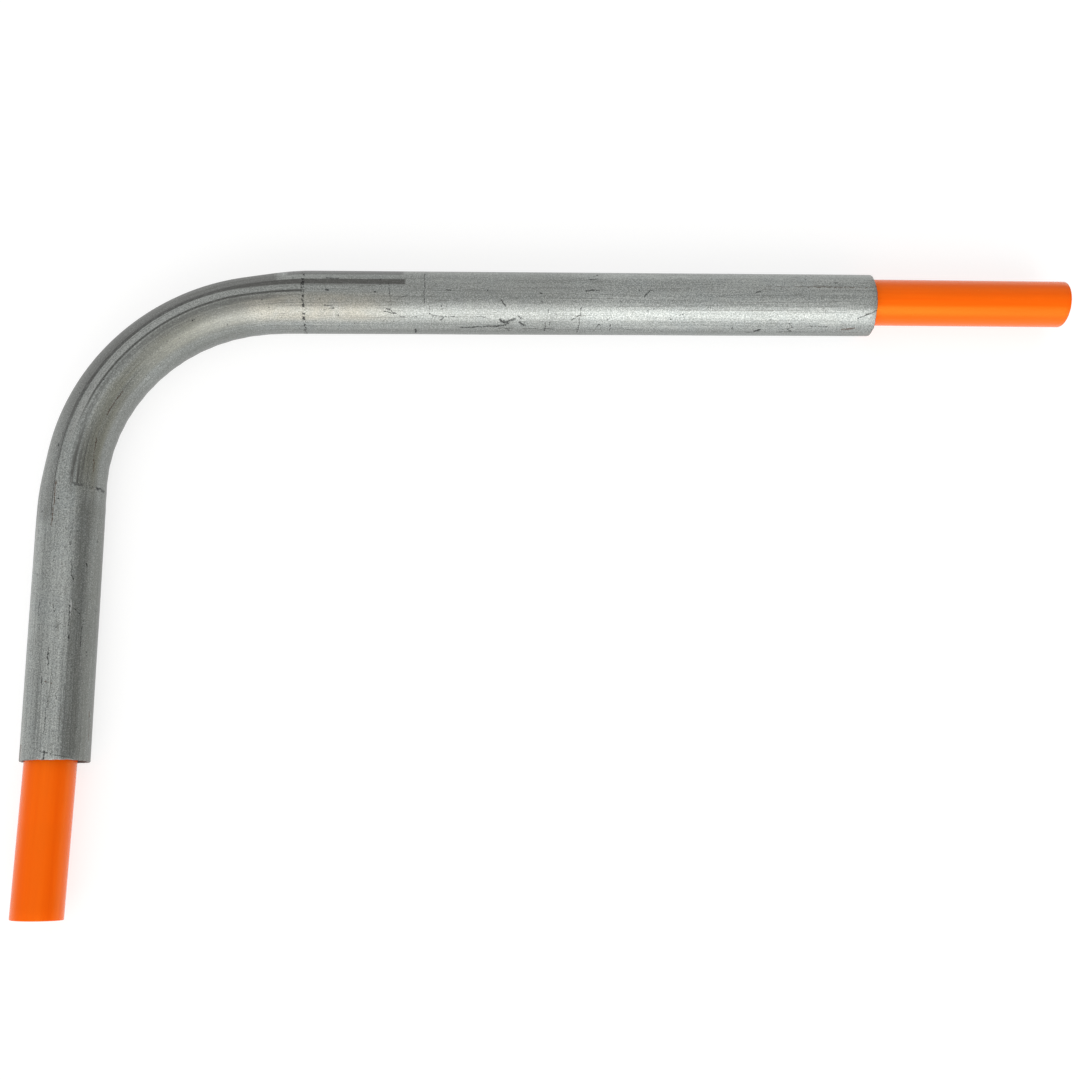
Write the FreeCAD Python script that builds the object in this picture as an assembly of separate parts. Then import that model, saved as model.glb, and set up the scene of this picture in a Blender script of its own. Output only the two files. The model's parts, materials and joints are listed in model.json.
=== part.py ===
import FreeCAD, Part
import math
import os

os.makedirs("parts", exist_ok=True)

# A light galvanised steel tube bent to a near right angle, used as a bend former and sleeve, with one
# springy plastic tube threaded through it.
# The object lies flat: both tubes' axes are in one horizontal plane and +Z is up. The long leg runs
# along +X and the short leg along -Y. The origin ends up at the middle of the bottom of the whole.
# Every route below is walked from the long leg's end, going towards -X and turning left at the bend.
# Millimetres and degrees.

# Steel sleeve: nominal 3/4 inch, light wall
SLEEVE_DIAMETER = 26.7
SLEEVE_WALL = 1.5
LONG_LEG = 241.1
SHORT_LEG = 101.3
ENTRY_BEND = (172.3, 9.31)      # radius and turn where the long leg starts to curve
MAIN_BEND = (81.0, 71.4)
EXIT_BEND = (145.7, 8.62)       # where the curve runs out into the short leg
BEND_FLATTENING = 0.066         # part of its in-plane width that the tube loses in the bend
TRANSITION_SECTIONS = 7         # sections along each stretch where round turns to flattened

# Plastic liner tube: 20 mm outside, 16 mm inside
LINER_DIAMETER = 20.0
LINER_WALL = 2.0
LONG_STUB = 87.7                # length beyond the steel's long end
SHORT_STUB = 59.6               # length beyond the steel's short end
LONG_SHIFT = 1.4                # how far the liner lies towards the outside of the bend
SHORT_SHIFT = 1.65
LONG_LEAN = 0.22                # the long stub leans inwards by this angle
SHORT_SPLAY = 1.3               # the short stub springs outwards by this angle
LEAN_RADIUS = 1500.0            # radius of the gentle curves at the two mouths
CURVE_PAST_MOUTH = 2.5          # where those curves give way to the straight stubs
LINER_EASE = (220.0, 9.0)       # radius and turn of the liner's gentle start and end of its bend
LINER_BEND_RADIUS = 82.0
LONG_CUT_ANGLE = 5.0            # the liner's long end is cut this far out of square
LONG_CUT_LEAN = 60.0            # direction of that cut's long side, from the bend's outside towards +Z

TOTAL_TURN = ENTRY_BEND[1] + MAIN_BEND[1] + EXIT_BEND[1]
UP = FreeCAD.Vector(0, 0, 1)
START_HEADING = 180.0
SHORT_HEADING = START_HEADING + TOTAL_TURN


def direction(heading):
    """Unit vector in the horizontal plane."""
    return FreeCAD.Vector(math.cos(math.radians(heading)), math.sin(math.radians(heading)), 0)


def outward(heading):
    """Unit vector from a route towards the outside of the bend, which is on its right."""
    return direction(heading - 90)


def turn_about(point, centre, angle):
    """The point turned about a vertical line through the centre."""
    return centre + FreeCAD.Rotation(UP, angle).multVec(point - centre)


def bend_centre(start, heading, radius, angle):
    """Centre of an arc that leaves start along heading. A negative angle turns right."""
    side = -1 if angle > 0 else 1
    return start + outward(heading) * (side * radius)


def walk(start, heading, runs):
    """Start, heading and run of every stretch, and last of all the end point and heading.

    A run is a length, or a radius and an angle.
    """
    stops = []
    for run in runs:
        stops.append((start, heading, run))
        if isinstance(run, tuple):
            radius, angle = run
            start = turn_about(start, bend_centre(start, heading, radius, angle), angle)
            heading += angle
        else:
            start = start + direction(heading) * run
    return stops, start, heading


def tangent_lengths(bends):
    """Distances from the corner, where the two legs' axes cross, to both ends of the bend."""
    stops, end, heading = walk(FreeCAD.Vector(), START_HEADING, bends)
    leaving = direction(heading)
    second = end.y / leaving.y
    first = second * leaving.x - end.x
    return first, second


def section(centre, heading, half_width, half_height):
    """Round or oval outline across the route."""
    if abs(half_height - half_width) < 1e-6:
        outline = Part.Circle(centre, direction(heading), half_width)
    else:
        narrow = centre + outward(heading) * half_width
        outline = Part.Ellipse(centre + UP * half_height, narrow, centre)
    return Part.Wire([outline.toShape()])


def straight_rod(start, heading, length, radius):
    return Part.makeCylinder(radius, length, start, direction(heading))


def bent_rod(start, heading, bend, half_width, half_height):
    """A rod of one section that follows an arc."""
    radius, angle = bend
    centre = bend_centre(start, heading, radius, angle)
    face = Part.Face(section(start, heading, half_width, half_height))
    axis = UP if angle > 0 else -UP
    return face.revolve(centre, axis, abs(angle))


def eased_rod(start, heading, bend, half_width, half_height, flattening_at):
    """A rod that follows an arc while its section goes from round to flattened, or back."""
    radius, angle = bend
    centre = bend_centre(start, heading, radius, angle)
    sections = []
    for step in range(TRANSITION_SECTIONS):
        share = step / (TRANSITION_SECTIONS - 1)
        place = turn_about(start, centre, angle * share)
        width = half_width - flattening_at(share)
        sections.append(section(place, heading + angle * share, width, half_height))
    return Part.makeLoft(sections, True)


def smooth(share):
    """0 to 1, level at both ends."""
    return share * share * (3 - 2 * share)


def joined(pieces):
    """One solid from pieces that meet face to face."""
    whole = pieces[0].fuse(pieces[1:]).removeSplitter()
    return whole.Solids[0]


# Where the legs' axes cross is the origin while the object is being made
SLEEVE_BENDS = [ENTRY_BEND, MAIN_BEND, EXIT_BEND]
first_tangent, second_tangent = tangent_lengths(SLEEVE_BENDS)
LONG_MOUTH = FreeCAD.Vector(first_tangent + LONG_LEG, 0, 0)
SHORT_MOUTH = direction(SHORT_HEADING) * (second_tangent + SHORT_LEG)
FLATTENING = SLEEVE_DIAMETER / 2 * BEND_FLATTENING


def hollowed(rods, cores):
    """Tubes from matching lists of filled rods and of the cores to take out of them."""
    return [rod.cut(core).Solids[0] for rod, core in zip(rods, cores)]


def sleeve_rods(radius):
    """The sleeve's two round legs and its bend, which is flattened in its plane, filled solid."""
    stops, end, heading = walk(LONG_MOUTH, START_HEADING, [LONG_LEG] + SLEEVE_BENDS + [SHORT_LEG])
    long_leg, entry, main, leaving, short_leg = stops
    bend = joined([
        eased_rod(*entry, radius, radius, lambda share: FLATTENING * smooth(share)),
        bent_rod(*main, radius - FLATTENING, radius),
        eased_rod(*leaving, radius, radius, lambda share: FLATTENING * smooth(1 - share)),
    ])
    return [straight_rod(*long_leg, radius), bend, straight_rod(*short_leg, radius)]


def make_steel_sleeve():
    radius = SLEEVE_DIAMETER / 2
    return Part.makeCompound(hollowed(sleeve_rods(radius), sleeve_rods(radius - SLEEVE_WALL)))


def liner_route():
    """The liner's start and its runs, from its long end to its short end.

    Its legs lie against the outside of the bend and are parallel to the sleeve's legs. At each mouth a
    gentle curve leads over to the straight stub.
    """
    splay = math.radians(SHORT_SPLAY)
    lean = math.radians(LONG_LEAN)
    splay_rise = LEAN_RADIUS * (1 - math.cos(splay))
    splay_run = LEAN_RADIUS * math.sin(splay)
    leg_direction = direction(SHORT_HEADING)
    splay_end = SHORT_MOUTH + leg_direction * CURVE_PAST_MOUTH
    leg_point = splay_end + outward(SHORT_HEADING) * (SHORT_SHIFT - splay_rise)
    corner_to_splay_end = (leg_point.y - LONG_SHIFT) / leg_direction.y
    corner = leg_point - leg_direction * corner_to_splay_end
    main_turn = TOTAL_TURN - 2 * LINER_EASE[1]
    bends = [LINER_EASE, (LINER_BEND_RADIUS, main_turn), LINER_EASE]
    first, second = tangent_lengths(bends)
    lean_start = LONG_MOUTH.x + CURVE_PAST_MOUTH
    long_run = lean_start - LEAN_RADIUS * math.sin(lean) - corner.x - first
    short_run = corner_to_splay_end - second - splay_run
    long_straight = LONG_STUB - CURVE_PAST_MOUTH
    short_straight = SHORT_STUB - CURVE_PAST_MOUTH
    lean_drop = LEAN_RADIUS * (1 - math.cos(lean)) + long_straight * math.sin(lean)
    start = FreeCAD.Vector(lean_start + long_straight * math.cos(lean), LONG_SHIFT - lean_drop, 0)
    long_end = [long_straight, (LEAN_RADIUS, LONG_LEAN), long_run]
    short_end = [short_run, (LEAN_RADIUS, -SHORT_SPLAY), short_straight]
    return start, START_HEADING - LONG_LEAN, long_end, bends, short_end


def liner_rods(radius):
    """The liner's two legs and its bend, filled solid."""
    start, heading, long_end, bends, short_end = liner_route()
    rods = []
    for runs in (long_end, bends, short_end):
        stops, start, heading = walk(start, heading, runs)
        pieces = []
        for place, along, run in stops:
            if isinstance(run, tuple):
                pieces.append(bent_rod(place, along, run, radius, radius))
            else:
                pieces.append(straight_rod(place, along, run, radius))
        rods.append(joined(pieces))
    return rods


def make_liner_tube():
    """The tube, with its long end cut at an angle that leaves the upper outer side longest."""
    radius = LINER_DIAMETER / 2
    stretches = hollowed(liner_rods(radius), liner_rods(radius - LINER_WALL))
    start, heading = liner_route()[:2]
    lean = math.radians(LONG_CUT_LEAN)
    long_side = outward(heading) * math.cos(lean) + UP * math.sin(lean)
    slope = math.tan(math.radians(LONG_CUT_ANGLE))
    cut_normal = direction(heading) * -1 - long_side * slope
    middle = start + direction(heading) * (radius * slope)
    waste = Part.makeCylinder(2 * LINER_DIAMETER, LINER_DIAMETER, middle, cut_normal)
    stretches[0] = stretches[0].cut(waste).Solids[0]
    return Part.makeCompound(stretches)


def centre_of_base(shapes):
    """Middle of the bottom of the box round all the shapes."""
    box = FreeCAD.BoundBox()
    for shape in shapes:
        box.add(shape.optimalBoundingBox(False, False))
    return FreeCAD.Vector(box.Center.x, box.Center.y, box.ZMin)


nodes = {
    "steel_sleeve": make_steel_sleeve(),
    "liner_tube": make_liner_tube(),
}
origin = centre_of_base(nodes.values())
for name, shape in nodes.items():
    shape.translate(-origin)
    shape.exportStep("parts/" + name + ".step")
    print(name, "volume", round(shape.Volume), "valid", shape.isValid())
print("long mouth", LONG_MOUTH - origin)
print("short mouth", SHORT_MOUTH - origin)
print("short leg direction", direction(SHORT_HEADING))
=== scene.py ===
import json
import math

import bpy
import numpy as np
from mathutils import Matrix, Vector


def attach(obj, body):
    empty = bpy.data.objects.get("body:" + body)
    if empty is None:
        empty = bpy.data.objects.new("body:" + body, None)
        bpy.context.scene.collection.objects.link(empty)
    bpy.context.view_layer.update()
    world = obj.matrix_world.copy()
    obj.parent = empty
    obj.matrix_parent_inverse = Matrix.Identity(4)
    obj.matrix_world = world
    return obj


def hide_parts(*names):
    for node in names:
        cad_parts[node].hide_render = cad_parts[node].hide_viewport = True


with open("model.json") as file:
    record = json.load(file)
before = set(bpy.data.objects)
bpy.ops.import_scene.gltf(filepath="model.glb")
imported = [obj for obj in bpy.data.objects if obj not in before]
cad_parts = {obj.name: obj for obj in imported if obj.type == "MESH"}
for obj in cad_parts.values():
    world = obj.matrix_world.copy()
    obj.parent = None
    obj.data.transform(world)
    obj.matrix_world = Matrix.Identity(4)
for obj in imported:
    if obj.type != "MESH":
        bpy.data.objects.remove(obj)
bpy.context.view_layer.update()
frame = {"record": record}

MM = 0.001
mounts = {mount["name"]: mount for mount in frame["record"]["mounts"]}

# The tubes' routes, as in the CAD: millimetres, degrees, and a heading that turns left at the bend.
SLEEVE_RADIUS = 13.35
SLEEVE_WALL = 1.5
SLEEVE_RUNS = [241.1, (172.3, 9.31), (81.0, 71.4), (145.7, 8.62), 101.3]
FLATTENING = 0.066 * SLEEVE_RADIUS
LINER_RADIUS = 10.0
LINER_WALL = 2.0
LINER_LEAN = 0.22
LONG_STRAIGHT = 85.2
LINER_RUNS = [LONG_STRAIGHT, (1500.0, LINER_LEAN), 230.32, (220.0, 9.0), (82.0, 71.33), (220.0, 9.0),
              57.79, (1500.0, -1.3), 57.1]
AXIS_HEIGHT = mounts["long_leg_outside"]["pos_m"][2] / MM


def mount_point(name, share):
    """A point on a mount's axis, in mm. Share is -0.5 at its start and 0.5 at its end."""
    mount = mounts[name]
    reach = mount["dims"]["length_mm"] * share
    return np.array([mount["pos_m"][i] / MM + mount["axis"][i] * reach for i in range(2)])


class Route:
    """A centre line made of straight runs and arcs, from its start."""

    def __init__(self, start, heading, runs):
        self.stretches = []
        point, angle, done = np.array(start, float), math.radians(heading), 0.0
        for run in runs:
            if isinstance(run, tuple):
                radius, turn = run
                curvature = math.copysign(1 / radius, turn)
                length = radius * math.radians(abs(turn))
            else:
                curvature, length = 0.0, run
            self.stretches.append((done, length, point, angle, curvature))
            point, angle = self.step(point, angle, curvature, length)
            done += length
        self.length = done

    @staticmethod
    def step(point, angle, curvature, length):
        if curvature == 0:
            return point + length * np.array([math.cos(angle), math.sin(angle)]), angle
        new = angle + curvature * length
        side = np.array([math.sin(new) - math.sin(angle), math.cos(angle) - math.cos(new)])
        return point + side / curvature, new

    def at(self, along):
        """Point and heading in radians, a distance along the route."""
        for start, length, point, angle, curvature in self.stretches:
            if along <= start + length or start + length >= self.length:
                return self.step(point, angle, curvature, along - start)


sleeve_route = Route(mount_point("long_leg_outside", 0.5), 180.0, SLEEVE_RUNS)
long_stub = mounts["long_stub_outside"]
slanted_part = LONG_STRAIGHT - long_stub["dims"]["length_mm"]
liner_tip = mount_point("long_stub_outside", 0.5) + slanted_part / 2 * np.array(long_stub["axis"][:2])
liner_route = Route(liner_tip, 180.0 - LINER_LEAN, LINER_RUNS)
starts = [stretch[0] for stretch in sleeve_route.stretches] + [sleeve_route.length]
BEND_START, MAIN_START, MAIN_END, BEND_END, SLEEVE_LENGTH = starts[1:]

# Where the bending tool left its marks: mm along the sleeve, and degrees up from the bend's outer side
OUTER_EDGE = 70.5
INNER_EDGE = 90.0
PRESSED = (248, 402)
BAR = (200, 262)
BAR_SIDES = (62, 79)

# How deep bending and handling marked the sleeve, in mm
PRESSED_OUTSIDE = 0.16
PRESSED_INSIDE = 0.11
BAR_DEPTH = 0.12
DENT_DEPTH = 0.035
WRINKLE_DEPTH = 0.05


def smooth(share):
    share = np.clip(share, 0, 1)
    return share * share * (3 - 2 * share)


def between(value, low, high, fade_in, fade_out):
    """1 from low to high, with 0 outside them, over the two fades just inside."""
    return smooth((value - low) / fade_in) * smooth((high - value) / fade_out)


def flattening(along):
    """How much of its half width the sleeve has lost at a place in its bend."""
    rise = smooth((along - BEND_START) / (MAIN_START - BEND_START))
    fall = smooth((along - MAIN_END) / (BEND_END - MAIN_END))
    return FLATTENING * (rise - fall)


def waves(seed, along, angle, count, length, most):
    """Smooth irregularity from a few sines that close round the tube. Along in mm, angle in radians."""
    rng = np.random.default_rng(seed)
    total = np.zeros(np.broadcast(along, angle).shape)
    for turns in range(count):
        pitch = length * rng.uniform(0.6, 1.6)
        phase, slant = rng.uniform(0, 2 * math.pi, 2)
        total = total + np.sin(along * 2 * math.pi / pitch + phase) * np.cos(angle * (turns + 1) + slant)
    return total / math.sqrt(count) * most


def tube_mesh(name, route, rings, around, height):
    """A closed tube from rings of (distance along, radius, lost half width, shift along).

    The first half of the rings runs up the outside and the rest come back up the bore.
    """
    angles = np.radians(np.linspace(-90, 270, around, endpoint=False))
    points, tube, flat = [], [], []
    for along, radius, lost, shift in rings:
        centre, heading = route.at(along)
        back = shift(angles)
        reach = radius(along, angles)
        ahead = np.array([math.cos(heading), math.sin(heading)])
        out = np.array([math.sin(heading), -math.cos(heading)])
        wide = (reach - lost) * np.cos(angles)
        flat_points = centre + np.outer(back, ahead) + np.outer(wide, out)
        points.append(np.column_stack([flat_points, height + reach * np.sin(angles)]))
        tube.append(np.column_stack([along + back, reach * np.cos(angles), reach * np.sin(angles)]))
        flat.append(np.column_stack([along + back, angles]))
    points, tube, flat = np.vstack(points), np.vstack(tube), np.vstack(flat)
    mesh = bpy.data.meshes.new(name)
    count = len(rings)
    faces = []
    for ring in range(count):
        after = (ring + 1) % count
        for side in range(around):
            following = (side + 1) % around
            faces.append((ring * around + side, ring * around + following,
                          after * around + following, after * around + side))
    mesh.from_pydata((points * MM).tolist(), [], faces)
    mesh.update()
    place = mesh.attributes.new("tube", "FLOAT_VECTOR", "POINT")
    place.data.foreach_set("vector", tube.astype(np.float32).ravel())
    unrolled = mesh.attributes.new("unrolled", "FLOAT_VECTOR", "CORNER")
    corners = np.zeros(len(mesh.loops), int)
    mesh.loops.foreach_get("vertex_index", corners)
    values = flat[corners]
    side_of_face = (np.arange(len(corners)) // 4) % around
    wraps = (side_of_face == around - 1) & (corners % around == 0)
    values[wraps, 1] += 2 * math.pi
    sheet = np.zeros((len(corners), 3), np.float32)
    sheet[:, 0] = values[:, 0]
    sheet[:, 1] = values[:, 1] * SLEEVE_RADIUS
    unrolled.data.foreach_set("vector", sheet.ravel())
    for polygon in mesh.polygons:
        polygon.use_smooth = True
    piece = bpy.data.objects.new(name, mesh)
    bpy.context.scene.collection.objects.link(piece)
    return piece


def stations(*spans):
    """Distances along a tube from spans of (start, end, step)."""
    found = []
    for start, end, step in spans:
        found += list(np.linspace(start, end, max(1, round((end - start) / step)), endpoint=False))
    return found


def no_shift(angles):
    return np.zeros_like(angles)


# Sleeve. The meshes keep just inside the CAD box.
SLEEVE_CLEARANCE = 0.03
LINER_CLEARANCE = 0.02
SLEEVE_SIDES = 128
LINER_SIDES = 112


def sleeve_outside(along, angle):
    """Radius of the sleeve's outside, with the marks that bending and handling pressed into it."""
    degrees = np.degrees(angle)
    in_bend = between(along, *PRESSED, 14, 14)
    pressed = PRESSED_OUTSIDE * in_bend * between(degrees, -20, OUTER_EDGE, 30, 3)
    inside = PRESSED_INSIDE * in_bend * between(degrees, INNER_EDGE, 150, 3, 40)
    groove = BAR_DEPTH * between(along, *BAR, 3, 10) * between(degrees, *BAR_SIDES, 4, 4)
    dents = DENT_DEPTH * (1 + waves(5, along, angle, 4, 60, 0.5))
    wrinkles = WRINKLE_DEPTH * in_bend * smooth((degrees - 140) / 20) * (1 + np.sin(along * 0.75))
    return SLEEVE_RADIUS - SLEEVE_CLEARANCE - pressed - inside - groove - dents - wrinkles


def sleeve_bore(along, angle):
    return np.full(angle.shape, SLEEVE_RADIUS - SLEEVE_WALL)


def sawn(seed, most, sign):
    """Unevenness of a sawn end: how far the rim is set back, by angle."""

    def shift(angles):
        uneven = waves(seed, 0.0, angles, 9, 50, 0.4) + waves(seed + 1, 0.0, angles * 5, 5, 50, 0.25)
        return sign * most * np.clip(0.5 + uneven, 0, 1)

    return shift


RIM = 0.28         # how much the sawn rims are worn round
long_rim = sawn(11, 0.35, 1)
short_rim = sawn(23, 0.45, -1)


def eased(radius, change):
    return lambda along, angle: radius(along, angle) + change


# The rings are closest through the bend, where the marks are
outside = stations((0.9, 195, 3.0), (195, 410, 1.25), (410, SLEEVE_LENGTH - 0.9, 2.5))
inside = stations((2, 240, 8), (240, 400, 3), (400, SLEEVE_LENGTH - 2, 8))
rings = [
    (0.0, eased(sleeve_outside, -RIM), 0.0, long_rim),
    (0.1, eased(sleeve_outside, -RIM * 0.3), 0.0, long_rim),
    (0.32, sleeve_outside, 0.0, long_rim),
]
rings += [(s, sleeve_outside, flattening(s), no_shift) for s in outside[1:]]
rings += [
    (SLEEVE_LENGTH - 0.32, sleeve_outside, 0.0, short_rim),
    (SLEEVE_LENGTH - 0.1, eased(sleeve_outside, -RIM * 0.3), 0.0, short_rim),
    (SLEEVE_LENGTH, eased(sleeve_outside, -RIM), 0.0, short_rim),
    (SLEEVE_LENGTH, eased(sleeve_bore, RIM * 0.6), 0.0, short_rim),
    (SLEEVE_LENGTH - 0.4, sleeve_bore, 0.0, short_rim),
]
rings += [(s, sleeve_bore, flattening(s), no_shift) for s in reversed(inside)]
rings += [(0.4, sleeve_bore, 0.0, long_rim), (0.0, eased(sleeve_bore, RIM * 0.6), 0.0, long_rim)]
sleeve = tube_mesh("bent_steel_tube", sleeve_route, rings, SLEEVE_SIDES, AXIS_HEIGHT)

# Liner
CUT_SLOPE = math.tan(math.radians(5.0))
CUT_LEAN = math.radians(60.0)
CUT_CLEARANCE = 0.03


def liner_outside(along, angle):
    return np.full(angle.shape, LINER_RADIUS - LINER_CLEARANCE)


def liner_bore(along, angle):
    return np.full(angle.shape, LINER_RADIUS - LINER_WALL)


def slant(angles):
    """The long end's cut: how far each side falls short of the longest."""
    return LINER_RADIUS * CUT_SLOPE * (1 - np.cos(angles - CUT_LEAN)) + CUT_CLEARANCE


def square(angles):
    """The short end's cut, which is only a little uneven."""
    return -0.05 - 0.05 * np.cos(angles * 2 + 0.6)


EDGE = 0.22        # rounding of the cut edges
length = liner_route.length
outside = stations((3, 85, 4), (85, 320, 6), (320, 470, 2.5), (470, length - 1, 4))
inside = stations((4, 320, 10), (320, 470, 4), (470, length - 2, 8))
rings = [
    (0.0, eased(liner_outside, -EDGE), 0.0, slant),
    (EDGE * 0.3, eased(liner_outside, -EDGE * 0.3), 0.0, slant),
    (EDGE, liner_outside, 0.0, slant),
]
rings += [(s, liner_outside, 0.0, no_shift) for s in outside]
rings += [
    (length - EDGE, liner_outside, 0.0, square),
    (length - EDGE * 0.3, eased(liner_outside, -EDGE * 0.3), 0.0, square),
    (length, eased(liner_outside, -EDGE), 0.0, square),
    (length, eased(liner_bore, EDGE), 0.0, square),
    (length - EDGE, liner_bore, 0.0, square),
]
rings += [(s, liner_bore, 0.0, no_shift) for s in reversed(inside)]
rings += [(EDGE, liner_bore, 0.0, slant), (0.0, eased(liner_bore, EDGE), 0.0, slant)]
liner = tube_mesh("orange_plastic_tube", liner_route, rings, LINER_SIDES, AXIS_HEIGHT)


# Materials
class Nodes:
    """Short names for building one material's nodes."""

    def __init__(self, name):
        self.material = bpy.data.materials.new(name)
        self.material.use_nodes = True
        self.tree = self.material.node_tree
        self.shader = self.tree.nodes["Principled BSDF"]

    def new(self, kind, inputs=(), **settings):
        node = self.tree.nodes.new(kind)
        for key, value in settings.items():
            setattr(node, key, value)
        for key, value in dict(inputs).items():
            self.put(node.inputs[key], value)
        return node

    def put(self, socket, value):
        if isinstance(value, bpy.types.NodeSocket):
            self.tree.links.new(value, socket)
        else:
            socket.default_value = value

    def attribute(self, name):
        return self.new("ShaderNodeAttribute", attribute_name=name).outputs["Vector"]

    def math(self, operation, a, b=0.0):
        return self.new("ShaderNodeMath", {0: a, 1: b}, operation=operation).outputs[0]

    def vector(self, operation, a, b=(0, 0, 0), scale=1.0, out="Vector"):
        node = self.new("ShaderNodeVectorMath", {0: a}, operation=operation)
        if operation == "SCALE":
            self.put(node.inputs["Scale"], scale)
        else:
            self.put(node.inputs[1], b)
        return node.outputs[out]

    def ramp(self, value, low, high, to_low=0.0, to_high=1.0):
        """Value from low to high, mapped smoothly."""
        inputs = {"Value": value, "From Min": low, "From Max": high, "To Min": to_low, "To Max": to_high}
        node = self.new("ShaderNodeMapRange", inputs, interpolation_type="SMOOTHSTEP", clamp=False)
        return node.outputs["Result"]

    def band(self, value, low, high, soft):
        """1 between low and high, falling off over soft outside them."""
        rise = self.ramp(value, low - soft, low)
        return self.math("MULTIPLY", rise, self.ramp(value, high, high + soft, 1.0, 0.0))

    def noise(self, vector, scale, detail=3.0, roughness=0.55):
        inputs = {"Vector": vector, "Scale": scale, "Detail": detail, "Roughness": roughness}
        return self.new("ShaderNodeTexNoise", inputs).outputs["Fac"]

    def stretched(self, vector, factors, detail, roughness):
        """Noise with its own scale along and across the tube."""
        return self.noise(self.vector("MULTIPLY", vector, factors), 1.0, detail, roughness)

    def scatter(self, vector, scale, detail, reach):
        """A small random shift, as a vector."""
        inputs = {"Vector": vector, "Scale": scale, "Detail": detail}
        noise = self.new("ShaderNodeTexNoise", inputs).outputs["Color"]
        return self.vector("SCALE", self.vector("SUBTRACT", noise, (0.5, 0.5, 0.5)), scale=reach)

    def mix(self, share, a, b):
        """Two colours of three numbers, or earlier results, mixed by the share."""
        node = self.new("ShaderNodeMix", data_type="RGBA")
        self.put(node.inputs["Factor"], share)
        for socket, colour in ((node.inputs[6], a), (node.inputs[7], b)):
            self.put(socket, (*colour, 1) if isinstance(colour, tuple) else colour)
        return node.outputs[2]

    def tint(self, colour, other, *shares):
        """The colour, mixed with another by the product of the shares."""
        return self.mix(self.product(*shares), colour, other)

    def product(self, *values):
        total = values[0]
        for value in values[1:]:
            total = self.math("MULTIPLY", total, value)
        return total

    def most(self, *values):
        total = values[0]
        for value in values[1:]:
            total = self.math("MAXIMUM", total, value)
        return total

    def weighted(self, *pairs):
        """Sum of values times their weights."""
        total = self.math("MULTIPLY", *pairs[0])
        for value, weight in pairs[1:]:
            total = self.math("ADD", total, self.math("MULTIPLY", value, weight))
        return total

    def stroke(self, place, start, end, width):
        """1 on a line between two places on the unrolled surface, in mm."""
        start, end = np.array([*start, 0.0]), np.array([*end, 0.0])
        run = end - start
        away = self.vector("SUBTRACT", place, tuple(start))
        share = self.vector("DOT_PRODUCT", away, tuple(run / max(run @ run, 1e-6)), out="Value")
        share = self.math("MINIMUM", self.math("MAXIMUM", share, 0.0), 1.0)
        along = self.vector("SCALE", tuple(run), scale=share)
        distance = self.vector("DISTANCE", away, along, out="Value")
        return self.ramp(distance, width * 0.35, width, 1.0, 0.0)

    def finish(self, colour, rough, height, bump_strength):
        bump = self.new("ShaderNodeBump", {"Height": height, "Strength": bump_strength, "Distance": MM})
        for name, value in (("Base Color", colour), ("Roughness", rough), ("Normal", bump.outputs[0])):
            self.put(self.shader.inputs[name], value)


def on_sleeve(along, degrees):
    """Place on the unrolled surface from a distance along the sleeve and an angle round it."""
    return along, math.radians(degrees) * SLEEVE_RADIUS


# Marks on the zinc: lines through places of (mm along, degrees round), with half width in mm
SCRATCHES = [
    ([(194, 40), (194, 117), (196, 119)], 0.26), ([(192, 117), (192, 132), (188, 136)], 0.26),
    ([(209, 76), (208, 117)], 0.24), ([(210, 121), (206, 132), (211, 128)], 0.34),
    ([(201, 98), (206, 107)], 0.2),
    ([(128, 119), (129, 178)], 0.26), ([(132, 142), (128, 132)], 0.3), ([(143, 149), (143, 172)], 0.3),
    ([(122, 174), (120, 151), (118, 174)], 0.22), ([(125, 150), (126, 176)], 0.2),
    ([(115, 150), (115, 170)], 0.2),
    ([(152, 165), (147, 164)], 0.36), ([(145, 165), (139, 165)], 0.3), ([(204, 138), (196, 138)], 0.26),
    ([(191, 137), (168, 137)], 0.22), ([(186, 139), (187, 144)], 0.4), ([(152, 165), (104, 166)], 0.16),
    ([(126, 88), (120, 86)], 0.42), ([(124, 63), (120, 60)], 0.34), ([(122, 52), (119, 44)], 0.34),
    ([(101, 99), (99, 87), (97, 87)], 0.4), ([(53, 88), (51, 88)], 0.42), ([(185, 88), (183, 88)], 0.34),
    ([(198, 168), (198, 182)], 0.55), ([(162, 107), (160, 116)], 0.5), ([(145.3, 93), (144.7, 94)], 0.45),
    ([(38, 148), (36, 156), (38, 162), (36, 170), (41, 172)], 0.34), ([(52, 170), (50, 164)], 0.8),
    ([(55, 174), (53, 172)], 0.4),
    ([(30, 153), (24, 155), (20, 155)], 0.3), ([(8, 136), (0, 120)], 0.3), ([(18, 66), (17, 66)], 0.4),
    ([(142, 122), (142, 128)], 0.3), ([(141, 148), (141, 154)], 0.3), ([(187, 118), (187, 119)], 0.4),
    ([(235, 62), (230, 64)], 0.4), ([(214.8, 94), (214.4, 94)], 0.42),
]
BLOTS = [
    ([(179, 163), (172, 161)], 0.6), ([(172, 161), (165, 158)], 0.62), ([(166, 159), (160, 155)], 0.85),
    ([(162, 144), (159, 150)], 1.15), ([(159, 145), (156, 141)], 0.8), ([(154.5, 136), (153, 141)], 0.55),
    ([(154, 147), (152, 154)], 0.75), ([(163, 163), (157, 165)], 0.42), ([(159, 166), (158, 171)], 0.5),
    ([(236, 118), (233, 117), (232, 122), (236, 126)], 0.22), ([(232, 130), (230, 136)], 0.25),
    ([(235, 88), (234, 89)], 0.55),
]
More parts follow.
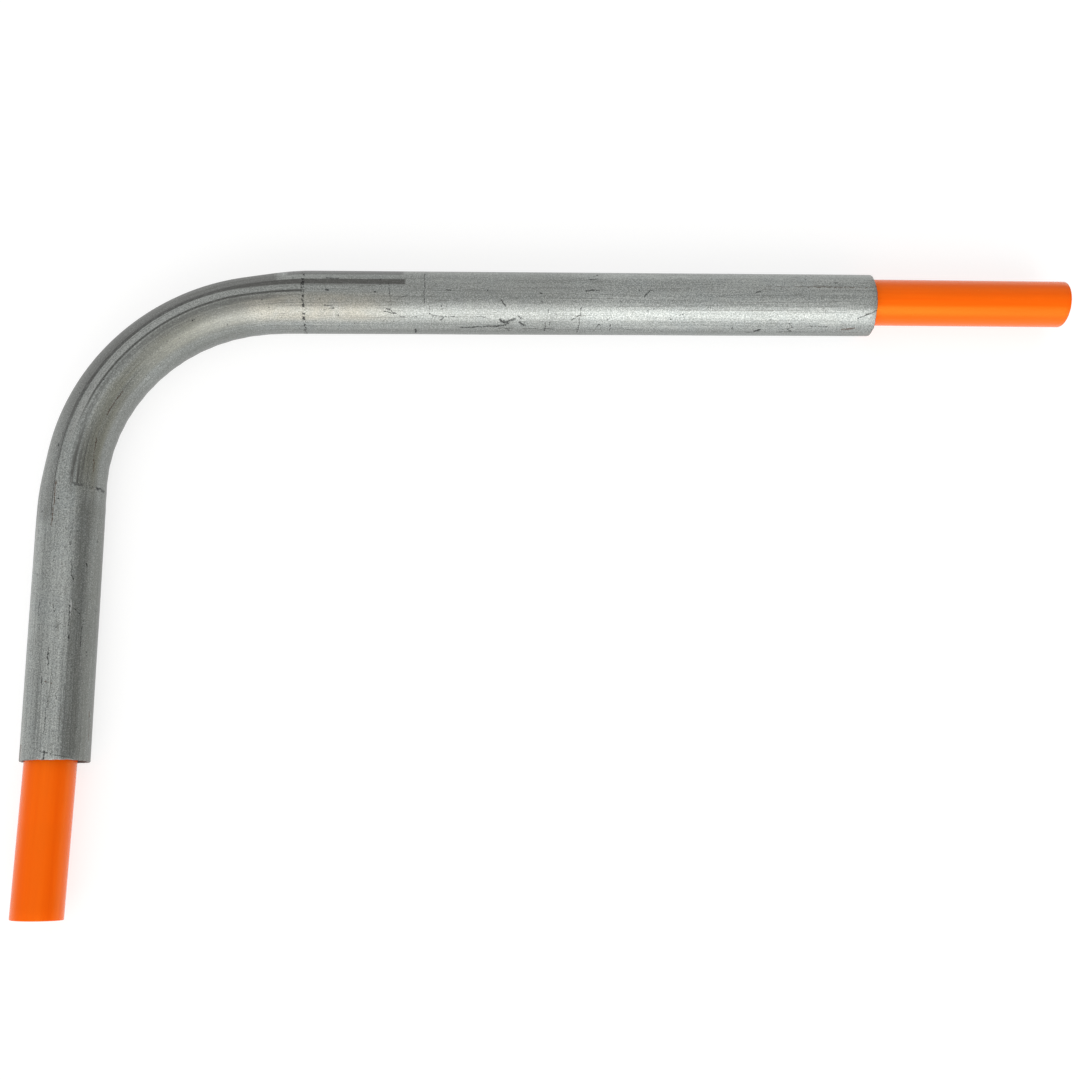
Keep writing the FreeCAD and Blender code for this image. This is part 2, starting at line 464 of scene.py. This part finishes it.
CRACKS = [
    ([(449, 82), (452, 83), (457, 84)], 0.34), ([(433, 112), (440, 113), (447, 114)], 0.28),
    ([(438, 139), (443, 136), (449, 136)], 0.22),
    ([(403, 106), (409, 108)], 0.24), ([(415, 111), (421, 113), (423, 115)], 0.26),
    ([(490, 80), (491, 100), (492, 122)], 0.26),
    ([(461, 74), (464, 75)], 0.36), ([(468, 100), (470, 101)], 0.3), ([(420, 64), (427, 64)], 0.2),
    ([(431, 60), (438, 57)], 0.24),
    ([(433, 86), (436, 89)], 0.24), ([(442, 93), (440, 102)], 0.24), ([(434, 118), (436, 131)], 0.24),
    ([(440, 150), (441, 158)], 0.24), ([(415, 133), (417, 138)], 0.3), ([(493, 87), (490, 88)], 0.45),
    ([(384, 150), (383, 160)], 0.4), ([(484, 84), (476, 86), (470, 88)], 0.18),
]
RUST = [
    ([(49, 76), (38, 77)], 0.2), ([(36, 76), (22, 77), (0, 76)], 0.26),
    ([(383, 74), (391, 75), (401, 73)], 0.42),
    ([(474, 166), (485, 170)], 0.35), ([(463, 80), (464, 92)], 0.3), ([(487, 30), (493, 30)], 0.9),
    ([(14, 163), (9, 158)], 0.7),
    ([(362, 129), (370, 134), (377, 139)], 0.3), ([(337, 133), (345, 131), (350, 131)], 0.35),
]
# Light lines painted along cracks as highlights
BRIGHT = [
    ([(431, 114), (434, 115), (437, 114)], 0.3), ([(388, 36), (412, 32), (440, 22), (470, 30)], 0.22),
]

zinc = Nodes("weathered_galvanised_steel")
tube = zinc.attribute("tube")
unrolled = zinc.attribute("unrolled")
parts = zinc.new("ShaderNodeSeparateXYZ", {0: unrolled})
along = parts.outputs[0]
degrees = zinc.math("MULTIPLY", parts.outputs[1], math.degrees(1 / SLEEVE_RADIUS))

# Waver, so that no mark is drawn with a ruler
waver = zinc.vector("ADD", zinc.scatter(tube, 0.35, 3.0, 1.5), zinc.scatter(tube, 1.7, 2.0, 0.9))
hand = zinc.vector("ADD", unrolled, waver)
wobble = zinc.math("SUBTRACT", zinc.stretched(tube, (0.12, 0.5, 0.5), 3.0, 0.55), 0.5)
wobble = zinc.math("MULTIPLY", wobble, 5.0)
loose = zinc.math("ADD", degrees, wobble)
loose_edge = zinc.math("ADD", degrees, zinc.math("MULTIPLY", wobble, 0.3))

fine = zinc.stretched(tube, (0.022, 1.5, 1.5), 4.0, 0.65)
medium = zinc.stretched(tube, (0.02, 0.32, 0.32), 3.0, 0.6)
mottle = zinc.noise(tube, 0.11, 4.0, 0.6)
speckle = zinc.noise(tube, 2.1, 2.0, 0.7)
grain = zinc.stretched(tube, (0.45, 1.3, 1.3), 3.0, 0.7)

# Linear colours
DARK_ZINC = (0.245, 0.262, 0.254)
LIGHT_ZINC = (0.445, 0.466, 0.450)
BLUE_ZINC = (0.32, 0.348, 0.350)
GLINT = (0.62, 0.64, 0.615)
SHADED_SIDES = (0.15, 0.156, 0.149)
SHADED_ENDS = (0.17, 0.175, 0.162)
CREAM = (0.34, 0.32, 0.265)
OLIVE = (0.225, 0.222, 0.165)
DULL = (0.175, 0.184, 0.170)
FILM = (0.155, 0.16, 0.142)
RUBBED = (0.2, 0.201, 0.196)
STRIP = (0.35, 0.36, 0.35)
GROOVE = (0.075, 0.074, 0.072)
BAR_DARK = (0.085, 0.084, 0.08)
INNER_LINE = (0.06, 0.06, 0.057)
SHADE_INSIDE_EDGE = (0.12, 0.125, 0.12)
SMEAR = (0.075, 0.075, 0.07)
OUTER_BAR = (0.13, 0.13, 0.13)
GRAIN_DARK = (0.14, 0.145, 0.136)
HAIRLINE = (0.11, 0.11, 0.105)
GRIME = (0.13, 0.128, 0.112)
SCRATCH = (0.02, 0.021, 0.022)
RUST_BROWN = (0.085, 0.045, 0.026)
CRACK_HIGHLIGHT = (0.6, 0.61, 0.6)
RIM_DARKENING = (0.09, 0.08, 0.07)
BORE_DARKENING = (0.10, 0.095, 0.09)
streaks = zinc.weighted((fine, 0.55), (medium, 0.45))
colour = zinc.mix(zinc.ramp(streaks, 0.32, 0.68), DARK_ZINC, LIGHT_ZINC)
colour = zinc.tint(colour, BLUE_ZINC, zinc.ramp(mottle, 0.4, 0.7, 0.0, 0.45))
colour = zinc.tint(colour, GLINT, zinc.ramp(speckle, 0.48, 0.31, 0.0, 0.62))

# Painted shade: darker sides and underside, and a darker stretch before the bend and along the inside of its
# end
painted_side_shade = zinc.most(zinc.ramp(degrees, 36, 10), zinc.ramp(degrees, 157, 176))
colour = zinc.tint(colour, SHADED_SIDES, painted_side_shade, 0.42)
before_bend = zinc.product(zinc.band(along, 142, 262, 22), 0.3)
inside_end = zinc.product(zinc.band(along, 340, 384, 22), zinc.ramp(degrees, 128, 150), 0.5)
colour = zinc.tint(colour, SHADED_ENDS, zinc.most(before_bend, inside_end))

# Warm and olive bloom over the bend, brownish film along the inner side of the short leg
uneven = zinc.ramp(medium, 0.3, 0.7, 0.35, 0.75)
warm = zinc.product(zinc.band(along, 225, 300, 30), zinc.band(degrees, 104, 138, 16))
colour = zinc.tint(colour, CREAM, warm, zinc.ramp(mottle, 0.3, 0.6, 0.3, 0.7))
olive = zinc.product(zinc.band(along, 300, 372, 26), zinc.band(loose, 116, 140, 14))
colour = zinc.tint(colour, OLIVE, olive, uneven)
dull = zinc.product(zinc.ramp(along, 262, 274), zinc.ramp(along, 352, 292), zinc.ramp(degrees, 88, 96))
colour = zinc.tint(colour, DULL, dull, zinc.ramp(fine, 0.3, 0.7, 0.72, 0.5))
film = zinc.product(zinc.ramp(along, 384, 396), zinc.ramp(loose, 108, 124))
colour = zinc.tint(colour, FILM, film, uneven)

# Marks of the bending tool, and painted shade just inside its inner edge: mm along the sleeve, degrees round
# it
rubbed = zinc.product(
    zinc.band(along, 257, 396, 4), zinc.ramp(loose_edge, OUTER_EDGE, OUTER_EDGE - 3.5),
    zinc.ramp(fine, 0.3, 0.7, 0.65, 1.0), zinc.ramp(along, 382, 318, 0.4, 1.0))
colour = zinc.mix(rubbed, colour, RUBBED)
strip = zinc.product(
    zinc.ramp(along, 249, 300, 0.25, 1.0), zinc.ramp(along, 369, 364), zinc.band(loose_edge, 76.5, 86.5, 2.0))
colour = zinc.tint(colour, STRIP, strip, zinc.ramp(fine, 0.3, 0.7, 0.45, 0.85))
groove = zinc.product(
    zinc.ramp(along, 252, 264), zinc.ramp(along, 386, 340), zinc.band(loose_edge, 67.5, 73.0, 2.2))
hairline = zinc.product(zinc.band(along, 350, 395, 3), zinc.band(loose_edge, 70.4, 71.2, 1.1))
groove = zinc.most(groove, hairline)
colour = zinc.tint(colour, GROOVE, groove, zinc.ramp(grain, 0.2, 0.6, 0.55, 0.95))
bar = zinc.product(
    zinc.ramp(along, 201.3, 202.6), zinc.ramp(along, 290, 250), zinc.band(loose_edge, 65.0, 75.5, 1.6))
colour = zinc.tint(colour, BAR_DARK, bar, zinc.ramp(grain, 0.2, 0.6, 0.7, 1.0))
inner = zinc.product(
    zinc.ramp(along, 243, 246), zinc.ramp(along, 374, 338), zinc.band(loose_edge, 89.2, 91.0, 2.4))
colour = zinc.tint(colour, INNER_LINE, inner, zinc.ramp(grain, 0.2, 0.55, 0.6, 0.95))
# Painted shade: a darker band just inside the tool's inner edge
shade_inside_edge = zinc.product(zinc.band(along, 262, 378, 14), zinc.band(loose, 97, 101, 5))
colour = zinc.tint(colour, SHADE_INSIDE_EDGE, shade_inside_edge, zinc.ramp(grain, 0.3, 0.65, 0.25, 0.75))
smear = zinc.product(
    zinc.ramp(along, 350, 374), zinc.ramp(along, 384.2, 383), zinc.band(loose, 101, 117, 4))
colour = zinc.tint(colour, SMEAR, smear, zinc.ramp(fine, 0.38, 0.6, 0.1, 0.9))
outer_bar = zinc.product(zinc.band(along, 204, 250, 2), zinc.band(loose, 20, 48, 5))
colour = zinc.tint(colour, OUTER_BAR, outer_bar, 0.8)

# Grain, hairlines and grime over all of it
colour = zinc.tint(colour, GRAIN_DARK, zinc.ramp(speckle, 0.48, 0.64, 0.0, 0.62))
colour = zinc.tint(colour, GLINT, zinc.ramp(speckle, 0.46, 0.31, 0.0, 0.16))
scored = zinc.ramp(zinc.stretched(tube, (0.011, 2.3, 2.3), 3.0, 0.6), 0.58, 0.71)
colour = zinc.tint(colour, HAIRLINE, scored, 0.68)
grimy = zinc.ramp(zinc.stretched(tube, (0.07, 0.5, 0.5), 5.0, 0.75), 0.56, 0.72)
colour = zinc.tint(colour, GRIME, grimy, 0.45)

# Dotted ring where the tool's end stood, and the step where it let go on the short leg
dots = zinc.ramp(zinc.noise(tube, 0.9, 2.0, 0.5), 0.46, 0.56)
ring_place = zinc.math("ADD", along, zinc.math("MULTIPLY", wobble, 0.25))
ring = zinc.product(zinc.band(ring_place, 244.4, 245.0, 0.7), dots)
let_go = zinc.product(zinc.band(along, 383.4, 384.2, 0.6), zinc.band(degrees, 98, 172, 4), dots, 0.6)


def strokes(rows):
    """1 on any of the rows' lines. The total is kept up line by line, to hold few values at a time."""
    total = 0.0
    for places, width in rows:
        for first, second in zip(places, places[1:]):
            line = zinc.stroke(hand, on_sleeve(*first), on_sleeve(*second), width)
            total = zinc.math("MAXIMUM", line, total)
    return total


broken = zinc.ramp(zinc.noise(tube, 1.3, 2.0, 0.6), 0.30, 0.5, 0.35, 1.0)
scratched = zinc.product(strokes(SCRATCHES + CRACKS), broken)
blotted = zinc.product(strokes(BLOTS), zinc.ramp(zinc.noise(tube, 1.9, 3.0, 0.7), 0.38, 0.52))
rusted = zinc.product(strokes(RUST), broken)
pits = zinc.ramp(zinc.noise(tube, 0.75, 1.0, 0.4), 0.72, 0.78)
pits = zinc.product(pits, zinc.ramp(mottle, 0.45, 0.6, 0.2, 1.0))
dark = zinc.most(scratched, blotted, ring, let_go, pits)
colour = zinc.tint(colour, SCRATCH, dark, 0.88)
colour = zinc.tint(colour, RUST_BROWN, rusted, 0.8)
# Painted highlights along the cracks
colour = zinc.tint(colour, CRACK_HIGHLIGHT, strokes(BRIGHT), 0.7)

# Darker at the sawn rims and in the bore
rim = zinc.most(zinc.ramp(along, 0.7, 0.15), zinc.ramp(along, SLEEVE_LENGTH - 0.7, SLEEVE_LENGTH - 0.15))
colour = zinc.tint(colour, RIM_DARKENING, rim, zinc.ramp(speckle, 0.35, 0.6, 0.35, 0.8))
across = zinc.vector("MULTIPLY", tube, (0, 1, 1))
reach = zinc.vector("LENGTH", across, out="Value")
bore = zinc.ramp(reach, SLEEVE_RADIUS - 0.9, SLEEVE_RADIUS - 1.2)
colour = zinc.tint(colour, BORE_DARKENING, bore, 0.8)

rough = zinc.math("ADD", zinc.math("MULTIPLY", streaks, 0.30), 0.27)
rough = zinc.math("ADD", rough, zinc.math("MULTIPLY", zinc.most(dark, rubbed), 0.18))
height = zinc.weighted((fine, 0.012), (grain, 0.010), (speckle, 0.010), (zinc.most(scratched, pits), -0.03))
zinc.finish(colour, rough, height, 0.8)
zinc.shader.inputs["Metallic"].default_value = 0.85

plastic = Nodes("orange_conduit_plastic")
tube = plastic.attribute("tube")
drawn = plastic.stretched(tube, (0.012, 0.5, 0.5), 3.0, 0.5)
cloud = plastic.noise(tube, 0.08, 3.0, 0.5)
DEEP_ORANGE = (0.875, 0.094, 0.0006)
BRIGHT_ORANGE = (0.915, 0.109, 0.001)
DULL_ORANGE = (0.85, 0.101, 0.001)
SCUFFED_ORANGE = (0.62, 0.09, 0.01)
colour = plastic.mix(plastic.ramp(drawn, 0.3, 0.7), DEEP_ORANGE, BRIGHT_ORANGE)
colour = plastic.tint(colour, DULL_ORANGE, plastic.ramp(cloud, 0.35, 0.7, 0.0, 0.5))
scuffs = plastic.ramp(plastic.stretched(tube, (0.25, 1.1, 1.1), 4.0, 0.75), 0.66, 0.78)
colour = plastic.tint(colour, SCUFFED_ORANGE, scuffs, 0.25)
rough = plastic.math("ADD", plastic.weighted((drawn, 0.10), (scuffs, 0.2)), 0.20)
height = plastic.weighted((drawn, 0.02), (plastic.noise(tube, 0.6, 2.0, 0.5), 0.006))
plastic.finish(colour, rough, height, 0.6)
plastic.shader.inputs["Specular Tint"].default_value = (1.0, 0.9, 0.12, 1)
plastic.shader.inputs["Specular IOR Level"].default_value = 0.6

sleeve.data.materials.append(zinc.material)
liner.data.materials.append(plastic.material)
for piece, body, node, slot in (
    (sleeve, "sleeve", "steel_sleeve", "galvanised_steel"),
    (liner, "liner", "liner_tube", "orange_plastic"),
):
    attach(piece, body)
    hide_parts(node)

# Floor
paper = Nodes("white_paper")
paper.shader.inputs["Base Color"].default_value = (0.34, 0.34, 0.34, 1)
paper.shader.inputs["Roughness"].default_value = 0.9
paper.shader.inputs["Specular IOR Level"].default_value = 0.1
paper.shader.inputs["Emission Color"].default_value = (1.0, 1.0, 1.0, 1)
paper.shader.inputs["Emission Strength"].default_value = 0.72
FLOOR = 6.0        # half its width, in metres
FLOOR_DROP = 0.0002
mesh = bpy.data.meshes.new("studio_floor")
corners = [(-FLOOR, -FLOOR, 0), (FLOOR, -FLOOR, 0), (FLOOR, FLOOR, 0), (-FLOOR, FLOOR, 0)]
mesh.from_pydata(corners, [], [(0, 1, 2, 3)])
mesh.materials.append(paper.material)
floor = bpy.data.objects.new("studio_floor", mesh)
floor.location.z = -FLOOR_DROP
bpy.context.scene.collection.objects.link(floor)

# Light: a wide bright side towards -Y, dimmer towards +X and -X
world = bpy.data.worlds.new("studio")
bpy.context.scene.world = world
world.use_nodes = True
tree = world.node_tree
background = tree.nodes["Background"]


def world_math(operation, a, b=0.0):
    node = tree.nodes.new("ShaderNodeMath")
    node.operation = operation
    for socket, value in zip(node.inputs, (a, b)):
        if isinstance(value, bpy.types.NodeSocket):
            tree.links.new(value, socket)
        else:
            socket.default_value = value
    return node.outputs[0]


def world_ramp(value, low, high, to_low, to_high):
    node = tree.nodes.new("ShaderNodeMapRange")
    node.interpolation_type = "SMOOTHSTEP"
    tree.links.new(value, node.inputs["Value"])
    for key, number in (("From Min", low), ("From Max", high), ("To Min", to_low), ("To Max", to_high)):
        node.inputs[key].default_value = number
    return node.outputs["Result"]


sky = tree.nodes.new("ShaderNodeTexCoord").outputs["Generated"]
axes = tree.nodes.new("ShaderNodeSeparateXYZ")
tree.links.new(sky, axes.inputs[0])
towards_front = world_math("MULTIPLY", axes.outputs[1], -1.0)
brighter_up = world_ramp(axes.outputs[2], 0.0, 0.5, 1.15, 1.45)
front = world_math("MULTIPLY", world_ramp(towards_front, 0.48, 0.68, 0.0, 1.0), brighter_up)
back = world_ramp(axes.outputs[0], 0.1, 0.8, 0.88, 0.36)
back = world_math("MULTIPLY", back, world_ramp(axes.outputs[0], -0.85, -0.25, 0.7, 1.0))
tree.links.new(world_math("ADD", front, back), background.inputs["Strength"])
background.inputs["Color"].default_value = (1.0, 0.995, 0.985, 1)

soft = bpy.data.lights.new("soft_key", "AREA")
soft.shape = "SQUARE"
soft.size = 1.4
soft.energy = 9.0
soft.color = (1.0, 0.985, 0.95)
key = bpy.data.objects.new("soft_key", soft)
key.location = (0.3, -1.9, 1.25)
key.rotation_euler = (-Vector(key.location)).to_track_quat("-Z", "Y").to_euler()
bpy.context.scene.collection.objects.link(key)

# Camera
ROLL = math.radians(-1.227)
camera_data = bpy.data.cameras.new("camera")
camera_data.lens = 45.4
camera_data.sensor_width = 36.0
camera = bpy.data.objects.new("camera", camera_data)
position = Vector((-0.05360, -0.10604, 0.56396))
target = Vector((-0.01432, 0.01501, 0.01335))
ahead = (target - position).normalized()
right = ahead.cross(Vector((0, 1, 0))).normalized()
turn = Matrix((right, right.cross(ahead), -ahead)).transposed().to_4x4()
camera.matrix_world = Matrix.Translation(position) @ turn @ Matrix.Rotation(ROLL, 4, "Z")
bpy.context.scene.collection.objects.link(camera)
bpy.context.scene.camera = camera
bpy.context.scene.view_settings.view_transform = "Standard"

bpy.context.view_layer.update()
